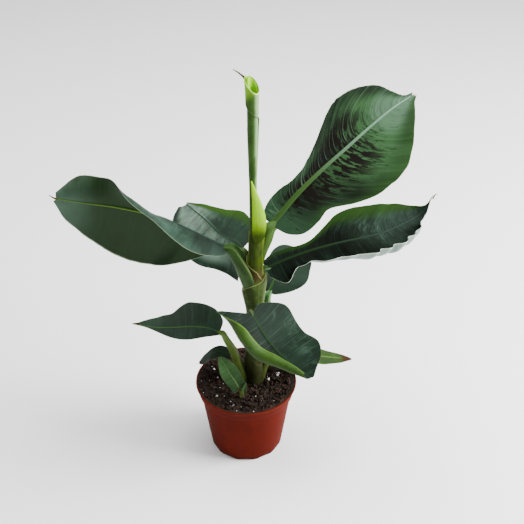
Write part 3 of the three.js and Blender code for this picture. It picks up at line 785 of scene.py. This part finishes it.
def stalk_form(leaf):
    """A stalk with a channel along its upper side, which runs on into the midrib's groove."""
    rib, _ = curve(leaf.rib)
    ahead = unit(rib[6] - rib[0])
    last = leaf.stalk[-1][3] * END_RADIUS
    inside = [[*(rib[0] + far * ahead), last * share] for far, share in STALK_END]
    line, run, s, radius = spine([*leaf.stalk, *inside])
    side = leaf.side or np.cross(rib[-1] - rib[0], [0, 0, 1])
    centre, _, right, up = directions(line, run, s, unit(np.array(side, float)))
    centre = centre - up * np.interp(s, [run[-1] - SINKING, run[-1]], [0, last * 0.75])[:, None]
    turn = ring_angles(STALK_SIDES)
    gap = np.abs((turn - pi / 2 + pi) % FULL_TURN - pi)
    depth = leaf.channel * np.interp(s, [0, run[-1] * 0.35, run[-1]], CHANNEL_DEPTH)[:, None]
    lip = 0.05 * leaf.channel * bell(gap - 0.95, 0.22)
    reach = radius[:, None] * (1 - depth * bell(gap, 0.5) + lip)
    edge = bell(gap - CHANNEL_EDGE, 0.13)[None] * np.clip(s / run[-1] * 3 - 0.6, 0, 1)[:, None]
    lie = grid((s * MM)[:, None], radius[:, None] * turn * MM, edge * leaf.channel)
    return Form().loft(tube(centre, right, up, reach, turn), lie, (s / run[-1])[:, None])


STEM = [
    [9, 5, 86, 10.2], [9, 5, 100, 8.8], [9.5, 5, 130, 8.5], [10.5, 5, 193, 8.6], [10, 5, 207, 10.2],
    [9.8, 5, 222, 11.4], [10.5, 5, 240, 10.8], [11.5, 5, 256, 8.6], [11.7, 5, 276, 8], [11.5, 5, 288, 7.6],
    [10.6, 5, 300, 5.8],
]
# The margins of the wrapped sheaths: height against direction in degrees, from -180 to 180.
MARGINS = [
    [[-180, 270], [-140, 261], [-75, 252], [-40, 243], [0, 236], [60, 242], [110, 254], [180, 270]],
    [[-180, 225], [-120, 234], [-75, 239], [-40, 243], [10, 249], [60, 238], [130, 228], [180, 225]],
    [[-180, 176], [-120, 188], [-75, 196], [-30, 190], [20, 178], [55, 172], [120, 166], [180, 176]],
    [[-180, 132], [-140, 138], [-60, 118], [0, 112], [70, 116], [140, 128], [180, 132]],
    [[-180, 104], [-100, 98], [-30, 110], [12, 118], [80, 106], [180, 104]],
]
PALE_MARGINS = 3  # how many of them, from the top, have a dry pale edge
SHEATH_STEP = 0.5
# Where a sheath swells over a stalk: its number, the direction, the foot and top, and the height.
SWELLINGS = [(0, 200, 225, 262, 1.6), (1, 215, 202, 238, 4.0), (1, -4, 200, 240, 2.6)]
FORK_SWELLING = (32, 256, 292, 5.0)  # where the highest stalk leaves the stem
STEM_SIDES = 180
STEM_ROWS = 330
STEM_RADIUS = 9  # for the lengths around the stem that its finish reads
SOFTENED = 17  # rows over which the stem's radius is evened out
FIBRES = 70
FIBRE_HEIGHT = 0.06


def stem_form():
    """Sheaths wrapped on each other, swollen where a stalk leaves."""
    stations = np.array(STEM)
    z = np.linspace(stations[0, 2], stations[-1, 2], STEM_ROWS)
    line, _ = curve(stations[:, :3])
    cx, cy = (np.interp(z, line[:, 2], line[:, k])[:, None] for k in (0, 1))
    radius = np.pad(np.interp(z, stations[:, 2], stations[:, 3]), SOFTENED // 2, "edge")
    radius = np.convolve(radius, np.ones(SOFTENED) / SOFTENED, "valid")
    turn = ring_angles(STEM_SIDES)
    degrees = (np.degrees(turn) + 180) % 360 - 180
    raised = np.zeros((STEM_ROWS, STEM_SIDES))
    edge = np.zeros_like(raised)
    wrap = np.zeros_like(raised)
    rng = default_rng(11)

    def swelling(heading, foot, top, height):
        towards = np.clip(np.cos(turn - radians(heading)), 0, 1) ** 1.6
        return height * (np.clip((z - foot) / (top - foot), 0, 1) ** 1.4)[:, None] * towards[None]

    for k, margin in enumerate(MARGINS):
        headings, heights = np.array(margin, float).T
        top = np.interp(degrees, headings, heights) + 0.7 * np.sin(3 * turn + k)
        top = top + 0.5 * smooth(rng.uniform(-1, 1, 26), turn / FULL_TURN) * np.sin(turn / 2)
        slope = np.gradient(top, FULL_TURN / STEM_SIDES * STEM_RADIUS)
        under = (top[None] - z[:, None]) / np.sqrt(1 + slope**2)
        inside = 1 / (1 + np.exp(-under / 0.3))
        raised += inside * SHEATH_STEP
        for number, *bulge in SWELLINGS:
            if number == k:
                raised += inside * swelling(*bulge)
        edge = np.maximum(edge * (1 - inside), bell(under - 0.45, 0.42) * (k < PALE_MARGINS))
        wrap = np.where(inside > 0.5, (k * 0.37 + 0.2) % 1, wrap)
    raised += swelling(*FORK_SWELLING)
    fibres = FIBRE_HEIGHT * np.abs(smooth(rng.uniform(-1, 1, FIBRES), turn / FULL_TURN))[None]
    reach = radius[:, None] + raised + fibres
    rings = grid(cx + reach * np.cos(turn), cy + reach * np.sin(turn), z[:, None])
    return Form().loft(rings, grid(z[:, None] * MM, turn * STEM_RADIUS * MM, wrap), edge)


# ---------- the rolled leaf ----------

ROLL = np.array([[10, 5, 300, 4.7], [10, 5, 356, 5], [9.7, 5, 416, 6.4], [9.6, 5, 484, 7.9]])
DRIP_TIP = [[4, 8.6, 468, 1.6], [2.5, 9.0, 477, 1.3], [-3, 9.2, 483, 0.8], [-9.5, 9, 487.5, 0.35]]
ROLL_ROWS = 120
ROLL_COLUMNS = 150
ROLL_TURNS = 2.2
# Where the outer margin is, in degrees, at shares of the height.
MARGIN_SHARES = [0, 0.7, 0.745, 0.84, 0.9, 1]
MARGIN_HEADINGS = [70, 15, 5, -175, -195, -215]
ROLL_THICK = 0.55
ROLL_PITCH = 1.5
DEEPEST_TURN = 3.4
LEAST_TURN = 0.9
MOUTH_HEIGHT = 474
MOUTH_TILT = 1.05
MOUTH_RADIUS = 7.2
MOUTH_HEADING = 140  # where its high side is
FLARE = (462, 476, 0.5)  # foot, top and breadth of the mouth's flare


def roll_form():
    """A sheet wound on itself, with its outer margin winding round and its mouth open."""
    up = np.linspace(0, 1, ROLL_ROWS)
    phi = np.linspace(0, ROLL_TURNS * FULL_TURN, ROLL_COLUMNS)
    start = np.radians(np.interp(up, MARGIN_SHARES, MARGIN_HEADINGS))
    angle = start[:, None] + phi[None]
    inner = np.minimum(ROLL_PITCH * phi / FULL_TURN, DEEPEST_TURN)
    slope = np.cos(angle[-1] - radians(MOUTH_HEADING))
    top = MOUTH_HEIGHT + MOUTH_TILT * MOUTH_RADIUS * slope - 0.9 * inner
    z = ROLL[0, 2] + up[:, None] * (top[None] - ROLL[0, 2])
    cx, cy, radius = (np.interp(z, ROLL[:, 2], ROLL[:, k]) for k in (0, 1, 3))
    foot, full, breadth = FLARE
    radius = radius - inner + breadth * np.clip((z - foot) / (full - foot), 0, 1) ** 2
    radius = np.maximum(radius, LEAST_TURN)
    spoke = grid(np.cos(angle), np.sin(angle), 0.0)
    middle = grid(cx, cy, z)
    outside = middle + spoke * radius[..., None]
    inside = middle + spoke * (radius - ROLL_THICK)[..., None]
    edge = np.broadcast_to(bell(phi, 0.09), angle.shape)
    lie = grid(z * MM, angle, up[:, None])
    looks = [1] * (ROLL_COLUMNS - 1) + [0] * (ROLL_COLUMNS + 1)
    return Form().loft(two_sided(inside, outside), two_sided(lie, lie), two_sided(0 * edge, edge), looks)


# ---------- pot and peat ----------

BASE_RADIUS = 43
FOOT_ROUND = 0.7
BAND_FOOT = 77.3  # from the rounded foot up to the rim band
WALL_SPREAD = 11.2  # how much wider the wall is there
WALL_RINGS = 8
RIM_HEIGHT = 92
RIM_WALL = 58
POT_SIDES = 192
POT_RADIUS = 50  # for the lengths around the pot that its finish reads
NOTCHES = 12
NOTCH_HALF = 7.5
NOTCH_RISE = 1.5
NOTCH_STEP = 0.5
# Radius, height, and whether the foot's notches lift the ring.
FOOT_PROFILE = [[0.01, 0, 0], [20, 0, 0], [38.2, 0, 0], [38.5, 0, 1], [42.3, 0, 1], [43, FOOT_ROUND, 1]]
BAND_PROFILE = [[54.9, 78.3, 0], [56.2, 78.6, 0], [56.6, 79.4, 0], [57.7, 84.6, 0], [58.7, 89.6, 0],
                [59.0, 90.1, 0], [59.7, 90.5, 0], [60, 91.2, 0], [59.9, 92.0, 0], [59.4, 92.45, 0],
                [58.6, 92.45, 0], [58.0, 92.0, 0], [57.4, 90.4, 0], [54.9, 80, 0], [52.6, 77, 0],
                [41.5, 3.7, 0], [20, 3.6, 0], [0.01, 3.6, 0]]


def pot_form():
    """Turned plastic pot: foot ring with arched notches, plain wall, rim band and rounded lip."""
    wall = [[BASE_RADIUS + WALL_SPREAD * k / WALL_RINGS, FOOT_ROUND + BAND_FOOT * k / WALL_RINGS, 0]
            for k in range(1, WALL_RINGS + 1)]
    profile = np.array([*FOOT_PROFILE, *wall, *BAND_PROFILE], float)
    r, height, lifted = (profile[:, k : k + 1] for k in range(3))
    turn = ring_angles(POT_SIDES)
    step = FULL_TURN / NOTCHES
    off = np.abs((turn + step / 2 + pi / 2) % step - step / 2) * BASE_RADIUS
    arch = NOTCH_RISE * np.sqrt(np.clip(1 - (off / NOTCH_HALF) ** 2, 0, 1))
    z = height + lifted * arch[None]
    first_wall = len(FOOT_PROFILE)
    z[first_wall] = np.maximum(z[first_wall], FOOT_ROUND + arch + NOTCH_STEP)
    wear = bell(height - RIM_HEIGHT, 1.2) * (r > RIM_WALL)
    rings = grid(r * np.cos(turn), r * np.sin(turn), z)
    return Form().loft(rings, grid(z * MM, turn * POT_RADIUS * MM, wear), 0.5)


SOIL_RADIUS = 58.9
SOIL_LEVEL = 89.6
SOIL_TOP = 93.4  # nothing of the bed is higher, and no crumb's middle is above CRUMB_TOP
CRUMB_TOP = 92.6
SOIL_UNDERSIDE = 79
SOIL_ROWS = 90
SOIL_SIDES = 260
STEM_PLACE = (9, 5)
STEM_CLEAR = 11  # no crumb lies nearer to the stem's middle


def ground(x, y):
    """Height of the peat's surface."""
    spot = Vector((x, y, 0))
    lumps = noise.fractal(spot / 15, 0.9, 2.1, 3) * 1.4
    crumbs = noise.fractal(spot / 4.2, 0.8, 2.2, 4) * 0.9
    grit = noise.noise(spot / 1.3) * 0.35
    rim = min(1, max(0, (hypot(x, y) - 44) / 12)) ** 2
    return SOIL_LEVEL + (lumps + crumbs) * (1 - 0.6 * rim) + grit + 2.4 * rim


def soil_form():
    """Lumpy peat down to the pot's wall, closed underneath."""
    turn = ring_angles(SOIL_SIDES)
    reach = np.linspace(0.2, SOIL_RADIUS, SOIL_ROWS)
    top = np.array([[[r * cos(a), r * sin(a), 0] for a in turn] for r in reach])
    for ring in top:
        for p in ring:
            p[2] = min(ground(p[0], p[1]), SOIL_TOP)
    skirt = top[-1:] * [0.95, 0.95, 0] + [0, 0, SOIL_UNDERSIDE]
    under = skirt * [0.01, 0.01, 1]
    rings = np.concatenate([under, skirt, top[::-1]])
    return Form().loft(rings, rings * MM, 0.5)


def scatter(rng, count, reach=55):
    """Spots on the peat, clear of the stem at its middle."""
    spots = []
    while len(spots) < count:
        x, y = rng.uniform(-reach, reach, 2)
        if hypot(x, y) < reach and dist((x, y), STEM_PLACE) > STEM_CLEAR:
            spots.append((x, y, ground(x, y)))
    return spots


def crumb_form(seed, count, low, high, sink):
    """Crumbs of a size from low to high, raised by a share of their size."""
    rng = default_rng(seed)
    form = Form()
    for x, y, z in scatter(rng, count):
        size = rng.uniform(low, high, 3) * rng.uniform(0.6, 1.0)
        form.lump((x, y, min(z + size[2] * sink, CRUMB_TOP)), size, rng)
    return form


def fibre_form(seed, count):
    """Bits of root and straw that wind over the peat."""
    rng = default_rng(seed)
    form = Form()
    for x, y, _ in scatter(rng, count, 52):
        heading = rng.uniform(0, FULL_TURN)
        length = rng.uniform(4, 13)
        stations = []
        for _ in range(4):
            heading += rng.uniform(-0.7, 0.7)
            stations.append([x, y, ground(x, y) + rng.uniform(0.3, 1.2), rng.uniform(0.12, 0.24)])
            x += length / 3 * cos(heading)
            y += length / 3 * sin(heading)
            pull = min(1, 54 / max(hypot(x, y), 1))
            x, y = x * pull, y * pull
        form.thread(stations, sides=6, steps=10)
    return form


# Larger white grains: place on the peat and size.
GRAINS = [[38, 12, 2.4], [27, 3, 1.9], [40, 26, 1.4], [-34, -27, 2.1], [12, -21, 1.6], [16, -18, 1.1],
          [-14, -41, 1.3], [-39, 21, 1.6], [-34, 6, 1.2], [48, 10, 1.1], [5, 38, 1.4], [-20, 30, 1.3]]
SMALL_GRAINS = 70


def perlite_form():
    """White grains, the larger ones at their own places."""
    rng = default_rng(5)
    form = Form()
    for x, y, size in GRAINS:
        form.lump((x, y, ground(x, y) + size * 0.35), size * rng.uniform(0.8, 1.25, 3), rng)
    for x, y, z in scatter(rng, SMALL_GRAINS):
        size = rng.uniform(0.25, 0.7)
        form.lump((x, y, z + size * 0.4), size * rng.uniform(0.8, 1.3, 3), rng)
    return form


# ---------- the plant is put together ----------

FACES = {
    "upper_right": blade_face(
        "upper_right_face", "0e190d 233c24 5e7a62 365225 3c5a1c", 0.05, veins=0.12, dust=0.1,
        flame=1.0, reach=0.9, flame_to=0.15, pleat_highlight=0.5, lime=0.65, lime_tone="25441a", lime_from=0.01,
        lime_band=0.12, shade=1.0, sheen=("345731", 0.06, 0.06, 0.19), tip_sheen=("56745e", 0.16),
        rib_tip="6c8f78"),
    "right": blade_face(
        "right_face", "060b07 0e1d12 3c5044 162a14 3c5226", gloss=0.05, veins=0.3, dust=0.5, flame=0.4,
        lime=0.75, lime_tone="1d3809", lime_band=0.3, lime_left=True,
        sheen=("22332a", 0.12, 0.12, 0.25), rib_tip="22322a", dry=0.258),
    "left": blade_face(
        "left_face", "16231a 273d31 4a5e52 22362b 76876a", veins=0.1, dust=0.4, flame=0.35),
    "back_left": blade_face(
        "back_left_face", "101a10 22392a 5f7566 263f2c 3c5226", veins=0.1, dust=0.5, flame=0.3, lime=1.0,
        lime_tone="2c500a", lime_band=0.2, sheen=("7a9482", 0.06, 0.0, 0.15)),
    "back_right": blade_face("old_leaf_face", "18271a 24392a 3f5446 33522a 3c5226", veins=0.1, dust=0.2),
    "lower_left": blade_face(
        "lower_left_face", "18271a 24392a 4a6050 33522a 3c5226", veins=0.2, dry=0.093),
    "front_right": blade_face(
        "front_leaf_face", "0a120c 15241a 465c4e 1c3018 5a6c3c", 0.03, veins=0.25),
    "low_right": blade_face(
        "low_right_face", "26381a 3f5a26 5c7a3a 4f7028 7f9a3c", veins=0.12, dust=0.2, lime=1.0,
        dry=0.078),
    "low_back_left": blade_face(
        "shaded_leaf_face", "0c170d 17281a 2c4034 1a2a16 3c5226", gloss=0.04, veins=0.08),
    "sucker": blade_face("sucker_face", "22381c 385a2e 6f8a70 4a6c3a 6f8450", veins=0.12),
}
back_young = blade_back("smooth_leaf_back", "22301f 3a4f44 4c6424 5c6c48")
back_old = blade_back("old_leaf_back", "172a06 223a0b 3c5a16 56761e")
BACKS = {
    "left": blade_back("young_leaf_back", "182d12 4c6655 4c6c1c 8a9a7c", 0.14),
    "right": blade_back("silver_leaf_back", "6f857a a9b8b2 6c8256 c4ccb8"),
    "front_right": blade_back("rolled_margin_back", "152808 2a440f 3c5a16 4c6c1c", grain=0.5),
    "lower_left": back_old,
}
YOUNG = ("upper_right", "right", "left", "back_left")

green_stalk = stalk_skin("green_stalk", "2b3a16 32481c 38522a")
old_stalk = stalk_skin("old_stalk", "2c2c10 384418 3c4f20", "22140c")
STALKS = {
    "upper_right": stalk_skin("glowing_stalk", "2a3804 2c440a 3a5a24", "30140a"),
    "right": stalk_skin("hidden_stalk", "2b3312 22381a 1c3416", edge="2c4420"),
    "left": stalk_skin("sheathing_stalk", "1a280e 203612 2c4c1c", "28160c", "465624", "3e5a30"),
    "back_right": stalk_skin("back_stalk", "34500f 3c6420 4a7a4a"),
    "lower_left": stalk_skin("lower_stalk", "3a4418 4c5e22 4f6a2a", "2a180c", "5c7430"),
    "front_right": stalk_skin("front_stalk", "3a4418 36461a 22300e", "28160c", "2a3c10"),
}
dry_tip = stalk_skin("dry_tip", "5c5a1e 4a3c18 2a1d10", "33200e")
drip_brown = stalk_skin("drip_tip_brown", "4a4a1a 3c3018 2a1d14", "22140c")
DRIP_TIPS = {
    "left": [[-203, 37, 322, 1.6], [-206, 37, 322.6, 1.3], [-209, 37, 324, 0.9], [-213.5, 37, 327.5, 0.3]],
    "right": [[217.5, 97, 286, 1.2], [218.6, 97, 289, 0.9], [220, 97, 291, 0.6], [222.5, 97, 292.5, 0.25]],
    "upper_right": [[182, 105, 412, 0.8], [185, 106.6, 413, 0.5], [190, 107, 413, 0.2]],
}

for index, (name, leaf) in enumerate(LEAVES.items()):
    blade = blade_form(leaf, seed=20 + index)
    finishes = [FACES[name], BACKS.get(name, back_young)]
    if name in DRIP_TIPS:
        blade.thread(DRIP_TIPS[name], look=2, sides=8, steps=14)
        finishes.append(dry_tip)
    age = "leaf_green" if name in YOUNG else "old_leaf_green"
    blade.piece("blade_" + name, finishes, age, "leaf_" + name)
    skin = STALKS.get(name, green_stalk if name in YOUNG else old_stalk)
    stalk_form(leaf).piece("petiole_" + name, [skin], "stalk", "stalk_" + name)

leaflet = blade_form(LEAFLET, seed=61, relief=0.4)
leaflet.piece("sucker_leaflet", [FACES["sucker"], back_old], "old_leaf_green")

stem_form().piece("wrapped_sheaths", [sheath_skin()], "sheath", "pseudostem")

roll = roll_form()
roll.thread(DRIP_TIP, look=2)
roll.piece("scrolled_leaf", [roll_skin(), lime_skin("mouth_lime", "78a812", "98cc1c"), drip_brown],
           "rolled_leaf", "rolled_leaf", sharp=70)

bract = blade_form(LIME_SHEATH, seed=50, thick=0.6, relief=0.5)
bract_skin = lime_skin("lime_bract", "80b006", "9acb0c", foot="2b3c06")
bract.piece("lime_bract", [bract_skin, bract_skin], "lime_sheath", "lime_sheath")

pot_form().piece("nursery_pot", [pot_plastic()], "pot", "pot", sharp=40)
soil_form().piece("peat_bed", [peat_finish("moist_peat", "0c0806 32241b 5a4838")], "soil", "soil")
crumb_form(3, 760, 0.8, 3.1, 0.2).piece(
    "peat_crumbs", [peat_finish("peat_crumb", "100b08 3a281c 70543c")], "soil")
crumb_form(9, 110, 1.4, 3.4, 0.55).piece(
    "peat_clods", [peat_finish("peat_clod", "0c0806 2e2016 5c4430")], "soil")
perlite_form().piece("perlite", [dusty_finish("perlite_white", "f2f0ea", "b9b0a4")], "soil")
fibre_form(8, 46).piece("peat_fibres", [dusty_finish("fibre_straw", "4a3826", "2e2116")], "soil")

# ---------- floor, light and camera: in metres ----------

FLOOR_CORNERS = [(-4, -4, 0), (4, -4, 0), (4, 4, 0), (-4, 4, 0)]
CAMERA_SPOT = (0.019, -0.890, 0.892)
CAMERA_PITCH = 35.2  # degrees below level
LENS = 68.3
SENSOR = 36


def stage_floor():
    mesh = bpy.data.meshes.new("floor")
    mesh.from_pydata(FLOOR_CORNERS, [], [(0, 1, 2, 3)])
    f = Finish("pale_floor")
    f.base("f4f4f4", "f6f6f6", f.cloud(2, 2))
    mesh.materials.append(f.paint(0.9))
    placed("floor", mesh)


def soft_light(name, spot, target, size, power):
    lamp = bpy.data.lights.new(name, "AREA")
    lamp.size = size
    lamp.energy = power
    made = placed(name, lamp)
    made.location = spot
    aim = Vector(target) - Vector(spot)
    made.rotation_euler = aim.to_track_quat("-Z", "Y").to_euler()


stage_floor()
soft_light("right_window", (1.5, -0.1, 0.9), (0, 0, 0.2), 1.0, 112)
soft_light("left_window", (-1.5, 0.5, 1.1), (0, 0, 0.25), 1.2, 14)
soft_light("overhead", (0.1, 0.4, 1.9), (0, 0, 0.25), 1.3, 46)

world = bpy.data.worlds.new("studio")
bpy.context.scene.world = world
world.use_nodes = True
background = world.node_tree.nodes["Background"].inputs
background["Color"].default_value = (1, 1, 1, 1)
background["Strength"].default_value = 0.5

camera_data = bpy.data.cameras.new("camera")
camera_data.lens = LENS
camera_data.sensor_width = SENSOR
camera = placed("camera", camera_data)
camera.location = CAMERA_SPOT
camera.rotation_euler = (radians(90 - CAMERA_PITCH), 0, 0)
bpy.context.scene.camera = camera
